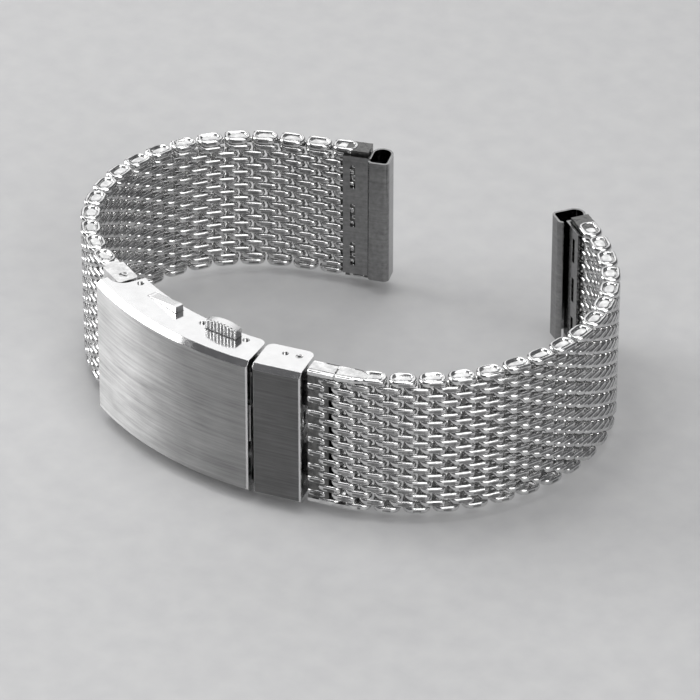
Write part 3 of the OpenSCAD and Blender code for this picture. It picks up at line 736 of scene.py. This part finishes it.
def solder_bar(x0, x1, edge, fade):
    """A bar with rounded corners along an edge, 1 or -1. It thins out by fade towards x1."""
    corners = len(BAR_SECTION)
    base = (TOP_RUN if edge > 0 else 0) + edge * (BAR_PROUD - BAR_H)
    verts = []
    for k in range(BAR_STEPS + 1):
        share = k / BAR_STEPS
        thin = 1 - fade * share ** FADE_POWER
        height = BAR_H * (BAR_LEAST_H + (1 - BAR_LEAST_H) * thin)
        for y, lift in BAR_SECTION:
            verts.append((x0 + (x1 - x0) * share, edge * y * thin * BAR_HALF,
                          base + edge * lift * height))
    ends = [list(range(corners))[::-1], [BAR_STEPS * corners + s for s in range(corners)]]
    return np.array(verts), wall_faces(BAR_STEPS + 1, corners) + ends


def edge_bars(name, i, x0, x1, fade, node):
    """The two bars that lie on coil i of the right strap, on the body of a CAD node."""
    verts, faces = join_shapes([solder_bar(x0, x1, edge, fade) for edge in (1, -1)])
    bars = mesh_piece(name, set_down(verts, coil_pose(True, i)), faces, WIRE, BAR_SHARP)
    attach(bars, body_of(node))


edge_bars("solder_bars_link", 0, LINK_START, HINGE_CLEAR, 0, "end_link_right")
edge_bars("solder_bars_strap", 1, -HINGE_CLEAR, BAR_COILS * COIL_PITCH, BAR_FADE, "mesh_right_1")
print("solder bars end", round((1 + BAR_COILS) * COIL_PITCH, 1), "mm from the link's last coil")

# %% [markdown]
# ## Two finishes on one body
# The clasp's cover is one piece of steel with two finishes: its outer face is brushed along the
# band, while its walls and bevels are polished. The outer face is the part of the surface that
# lies furthest from the clasp's centre, so a distance alone can tell the two apart. Splitting the
# mesh would do it as well, but the CAD mesh stays as it is. Brush lines are a noise that is
# stretched along the band, and they vary the colour, the roughness and the normal together.

# %% Places on the clasp
def from_clasp_centre(f):
    """x, y and z in mm, from the axis that the clasp curves round."""
    x, y, z = f.place()
    return (x - CLASP_CENTRE.x) / MM, (y - CLASP_CENTRE.y) / MM, z / MM


def round_place(f):
    """Distance from the clasp's axis, way along the band and height, in mm."""
    x, y, z = from_clasp_centre(f)
    radius = (x * x + y * y).math("SQRT")
    return radius, x.math("ARCTAN2", 0 - y) * CLASP_R, z


def flat_place(f, turn):
    """The same for a flat face that is turned about the clasp's axis by this angle."""
    x, y, z = from_clasp_centre(f)
    c, s = math.cos(math.radians(turn)), math.sin(math.radians(turn))
    return x * s - y * c, x * c + y * s, z


print("brushed faces at", CLASP_R, "and", BLOCK_FACE, "mm from the clasp's centre")

# %% [markdown]
# A machined edge is never quite sharp: it is a thin round line that catches the light. The Bevel
# node bends the normal near an edge to give that line without touching the mesh. Its result goes
# into the Bump node, which adds the brush lines on top. Every colour here lies between two greys,
# given as darkest and lightest.

# %% Brushed and polished steel
LINE_STRETCH = 0.07
LINES_PER_MM = 2.6
SHADE_STRETCH = 0.16
SHADES_PER_MM = 0.3
SCRATCH_DEPTH = 0.006
EDGE_R = 0.09
EDGE_SAMPLES = 6
BRUSH_FROM = 0.09
BRUSH_TO = 0.03
WIPE_SCALE = 420
FINE_SCALE = 3500
COVER_GREYS = (0.28, 0.52)
# The block is the same steel as the cover. Its darker greys are a painted dark reflection.
BLOCK_GREYS_PAINTED_REFLECTION = (0.13, 0.26)


def worn_edges(f, height, depth, strength):
    """A normal for a relief of this depth in mm, on a surface whose edges are rounded a little."""
    edges = f.node("ShaderNodeBevel", {"samples": EDGE_SAMPLES}, {"Radius": EDGE_R * MM})
    return f.bump(height, depth, strength, edges)


def brushed_shader(f, along, across, dark, light, rough=(0.38, 0.52), depth=SCRATCH_DEPTH):
    """Steel with fine lines. along and across are places in mm."""
    fine = f.vector(along * LINE_STRETCH, 0.0, across * LINES_PER_MM)
    lines = f.noise(fine, detail=5, rough=0.75)
    coarse = f.vector(along * SHADE_STRETCH, 0.0, across * SHADES_PER_MM)
    mixed = lines * 0.7 + f.noise(coarse, detail=3) * 0.3
    colour = f.mix_colour(f.between(mixed, 0.34, 0.66), (dark,) * 3, (light, light, light * WARM))
    relief = worn_edges(f, lines, depth, 0.8)
    return f.steel(Base_Color=colour, Roughness=f.between(mixed, 0.3, 0.7, *rough), Normal=relief,
                   Anisotropic=0.85, Anisotropic_Rotation=0.25)


def polished_shader(f, shade=0.78, rough=(0.07, 0.16)):
    """Bright steel with faint wipe marks and small scratches."""
    wipe = f.noise(scale=WIPE_SCALE, detail=4, rough=0.6)
    fine = f.noise(scale=FINE_SCALE, detail=2)
    colour = f.mix_colour(f.between(wipe, 0.3, 0.7), (shade * 0.9,) * 3, (shade,) * 3)
    relief = worn_edges(f, fine * 0.4 + wipe * 0.6, SCRATCH_DEPTH, 0.5)
    return f.steel(Base_Color=colour, Roughness=f.between(wipe, 0.3, 0.7, *rough), Normal=relief)


def clasp_finish(name, face, place, dark, light):
    """Brushed where the surface lies at this distance from the clasp's centre, or else polished."""
    f = Finish(name)
    height, along, across = place(f)
    mask = f.between(height, face - BRUSH_FROM, face - BRUSH_TO)
    polished = polished_shader(f)
    brushed = brushed_shader(f, along, across, dark, light)
    sockets = {0: mask, 1: polished, 2: brushed}
    return f.done(f.node("ShaderNodeMixShader", sockets=sockets))


def block_place(f):
    """Distance, way and height on the end block's flat face, in mm."""
    return flat_place(f, BLOCK_TURN)


COVER = clasp_finish("brushed_cover", CLASP_R, round_place, *COVER_GREYS)
# The block's brushed face is darker than the cover's: painted dark reflection.
BLOCK = clasp_finish("brushed_block_painted_reflection", BLOCK_FACE, block_place, *BLOCK_GREYS_PAINTED_REFLECTION)
dress(COVER, "cover")
dress(BLOCK, "end_block")
for material in (COVER, BLOCK):
    print(material.name, "nodes:", len(material.node_tree.nodes))

# %% [markdown]
# ## Sheet, pins, buttons and springs
# The blades and the tongue are rolled sheet with a light brushing, the lug sheets are smooth with
# faint marks of the bending tool and dark greys that are a painted reflection, the buttons are
# polished, and the pins and springs are drawn wire. Most are a small change of the same two
# shaders. The CAD nodes of the mesh get the wire's finish too, so that no node is left bare where a
# viewer shows the CAD model alone. The values for buttons, pins and springs are how bright they
# are, and how rough at least and at most.

# %% Finishes of the inner parts
BLADE_GREYS = (0.46, 0.64)
BLADE_SCRATCH = 0.004
# The lug sheets' low greys are a painted dark reflection. The spread between them is the tool
# marks.
LUG_GREYS_PAINTED_REFLECTION = (0.20, 0.34)
LUG_SPOTS = 1600
LUG_RELIEF = 0.01
ROLLS_PER_MM = 1.3
DIE_RINGS_PER_MM = 9
DRAWN_CLOUDS = 1500
BUTTON_LOOK = (0.82, (0.22, 0.36))
PIN_LOOK = (0.66, (0.16, 0.30))
SPRING_LOOK = (0.55, (0.2, 0.34))


def blade_finish():
    """Rolled sheet with a light brushing along its curve."""
    f = Finish("rolled_blade_steel")
    _, along, across = round_place(f)
    return f.done(brushed_shader(f, along, across, *BLADE_GREYS, (0.24, 0.4), BLADE_SCRATCH))


def lug_finish():
    """Smooth sheet with faint marks of the bending tool across it, in dark greys that are a painted
    reflection.
    """
    f = Finish("lug_sheet_painted_reflection")
    _, _, z = f.place()
    roll = f.noise(f.vector(0.0, 0.0, z / MM * ROLLS_PER_MM), detail=4, rough=0.7)
    spots = f.noise(scale=LUG_SPOTS, detail=3)
    dark, light = ((grey,) * 3 for grey in LUG_GREYS_PAINTED_REFLECTION)
    colour = f.mix_colour(f.between(roll * 0.6 + spots * 0.4, 0.35, 0.65), dark, light)
    relief = f.bump(spots * 0.5 + roll * 0.5, LUG_RELIEF, 0.6)
    roughness = f.between(spots, 0.3, 0.7, 0.06, 0.18)
    return f.done(f.steel(Base_Color=colour, Roughness=roughness, Normal=relief))


def polished_finish(name, shade, rough):
    """The polished shader by itself, as bright and as rough as given."""
    f = Finish(name)
    return f.done(polished_shader(f, shade, rough))


def drawn_finish(name, shade, rough):
    """Drawn wire: fine rings of the die round it and a cloudy colour."""
    f = Finish(name)
    _, _, z = f.place()
    rings = f.noise(f.vector(0.0, 0.0, z / MM * DIE_RINGS_PER_MM), detail=3)
    cloud = f.noise(scale=DRAWN_CLOUDS, detail=3)
    colour = f.mix_colour(f.between(cloud, 0.3, 0.7), (shade * 0.72,) * 3, (shade,) * 3)
    relief = f.bump(rings, SCRATCH_DEPTH, 0.6)
    roughness = f.between(rings, 0.3, 0.7, *rough)
    return f.done(f.steel(Base_Color=colour, Roughness=roughness, Normal=relief))


SHEET = ("slide_tongue", "middle_blade", "base_blade", "button_bracket", "latch_guide")
PINS = ("slide_bar", "mesh_pin", "cover_hinge_pin", "blade_hinge_pin", "link_pin", "bracket_pins")
PAIRS = [(kind, edge) for kind in ("fold", "extension") for edge in ("top", "bottom")]
BUTTONS = [f"{kind}_button_{edge}" for kind, edge in PAIRS]
SPRINGS = [f"{kind}_spring_{edge}" for kind, edge in PAIRS]
MESH = [name for name in NODES if name.startswith(("mesh_right_", "mesh_left_", "mesh_end_"))]
dress(blade_finish(), *SHEET)
dress(lug_finish(), "lug_sheet_right", "lug_sheet_left")
dress(polished_finish("polished_buttons", *BUTTON_LOOK), *BUTTONS)
dress(drawn_finish("turned_pins", *PIN_LOOK), *PINS)
dress(drawn_finish("drawn_springs", *SPRING_LOOK), *SPRINGS)
dress(WIRE, "end_link_left", "end_link_right", *MESH)
bare = [name for name, node in NODES.items() if not node.data.materials]
print("nodes without a finish:", bare)

# %% [markdown]
# ## Floor and light
# The floor is a pale matt sheet with a very slight grain. It is far larger than the bracelet, so
# that its edge never comes into view, and the upright faces of the metal mirror it.

# %% The floor
FLOOR_SIZE = 3.0
FLOOR_CLOUDS = 260
FLOOR_RELIEF = 0.05
FLOOR_DARK = (0.47, 0.47, 0.475)
FLOOR_LIGHT = (0.51, 0.51, 0.51)


def floor_finish():
    """Pale matt sheet, a little cloudy."""
    f = Finish("pale_floor")
    grain = f.noise(scale=FLOOR_CLOUDS, detail=4)
    colour = f.mix_colour(f.between(grain, 0.3, 0.7), FLOOR_DARK, FLOOR_LIGHT)
    shader = f.node("ShaderNodeBsdfPrincipled", sockets={
        "Base Color": colour, "Roughness": f.between(grain, 0.3, 0.7, 0.55, 0.65),
        "Specular IOR Level": 0.3, "Normal": f.bump(grain, FLOOR_RELIEF, 0.4)})
    return f.done(shader)


half = FLOOR_SIZE / 2
floor_mesh = bpy.data.meshes.new("floor")
floor_mesh.from_pydata([(-half, -half, 0), (half, -half, 0), (half, half, 0), (-half, half, 0)],
                       [], [(0, 1, 2, 3)])
floor_mesh.materials.append(floor_finish())
floor = bpy.data.objects.new("floor", floor_mesh)
bpy.context.scene.collection.objects.link(floor)
print("floor side in m:", FLOOR_SIZE)

# %% [markdown]
# Polished metal is only as good as what it mirrors. A large soft lamp behind and to the left
# shines on every edge that looks up. A stronger one at the left gives the cover its bright end
# and the wires their highlights. One at the right lights the ends of the wires that look that
# way, and one from above fills in. None stands behind the camera, so that the faces that look at
# it keep their depth. Each lamp is given as its place, its size and its power in watts.

# %% Lamps and the room
LAMPS = (("lamp_back_left", (-430, 500, 440), (760, 560), 1.5),
         ("lamp_left", (-580, -280, 240), (420, 520), 4.2),
         ("lamp_right", (640, -260, 500), (620, 620), 3.8),
         ("lamp_above", (-60, -60, 700), (560, 560), 2.6))
LAMP_AIM = Vector((0, 0, 12))
ROOM_COLOUR = (0.13, 0.13, 0.135, 1)


def soft_lamp(name, place, size, power):
    """A rectangular area lamp in mm that looks at the bracelet's middle."""
    data = bpy.data.lights.new(name, "AREA")
    data.shape = "RECTANGLE"
    data.size, data.size_y = (side * MM for side in size)
    data.energy = power
    lamp = bpy.data.objects.new(name, data)
    lamp.location = Vector(place) * MM
    lamp.rotation_euler = (LAMP_AIM - Vector(place)).to_track_quat("-Z", "Y").to_euler()
    bpy.context.scene.collection.objects.link(lamp)


for lamp in LAMPS:
    soft_lamp(*lamp)

world = bpy.data.worlds.new("studio_room")
world.use_nodes = True
background = world.node_tree.nodes["Background"]
background.inputs["Color"].default_value = ROOM_COLOUR
background.inputs["Strength"].default_value = 1.0
bpy.context.scene.world = world
bpy.context.scene.view_settings.view_transform = "Standard"

# %% [markdown]
# ## The camera
# The photograph was taken from about 800 mm away with a long lens, from the front right and well
# above. The camera's place was fitted to the clasp's corners and the band's outline, and it is
# given here from the clasp's centre.

# %% The camera
CAMERA_FROM_CLASP = Vector((441.8, -515.3, 436.3)) * MM
AIM_FROM_CLASP = Vector((-1.5, -10.8, 1.8)) * MM
SENSOR = 36.0
LENS = 279.9

camera_data = bpy.data.cameras.new("camera")
camera_data.sensor_width = SENSOR
camera_data.lens = LENS
camera = bpy.data.objects.new("camera", camera_data)
camera.location = CLASP_CENTRE + CAMERA_FROM_CLASP
look = AIM_FROM_CLASP - CAMERA_FROM_CLASP
camera.rotation_euler = look.to_track_quat("-Z", "Y").to_euler()
bpy.context.scene.collection.objects.link(camera)
bpy.context.scene.camera = camera
print("camera in mm:", [round(v / MM) for v in camera.location])
